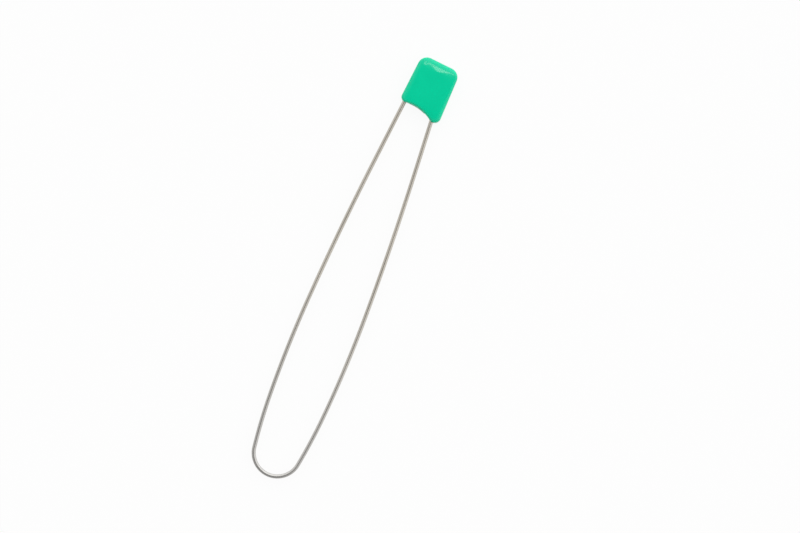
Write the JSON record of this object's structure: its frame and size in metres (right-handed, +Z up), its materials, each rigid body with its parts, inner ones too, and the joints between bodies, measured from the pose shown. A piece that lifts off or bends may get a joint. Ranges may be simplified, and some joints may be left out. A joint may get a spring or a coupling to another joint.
{
  "type": "stitch holder",
  "caption": "Latched stitch holder: a leaf-shaped spring wire whose free leg is caught in the hidden pocket of a moulded plastic cap.",
  "frame": {"origin": "under the middle of the holder, in the plane of the cap's back face, on which it lies", "axes": "+Z up out of the cap's closed face, +Y along the leaf's middle line from the bow to the cap, +X towards the free leg"},
  "size_m": [0.0248, 0.1702, 0.0052],
  "materials": {
    "cap_plastic": "glossy moulded, mint green",
    "wire": "satin drawn spring wire"
  },
  "bodies": {
    "stitch_side": {"free_leg": "wire"},
    "cap_side": {"fixed_leg": "wire", "cap": "cap_plastic"}
  },
  "joints": [
    {"name": "unlatch", "type": "hinge", "parent": "stitch_side", "child": "cap_side", "pos_m": [0, -0.08427, 0.0026], "axis": [0.766, 0, -0.6428], "range_deg": [0, 6], "stiffness_Nm_per_rad": 0.5, "springref_deg": -20.05}
  ]
}
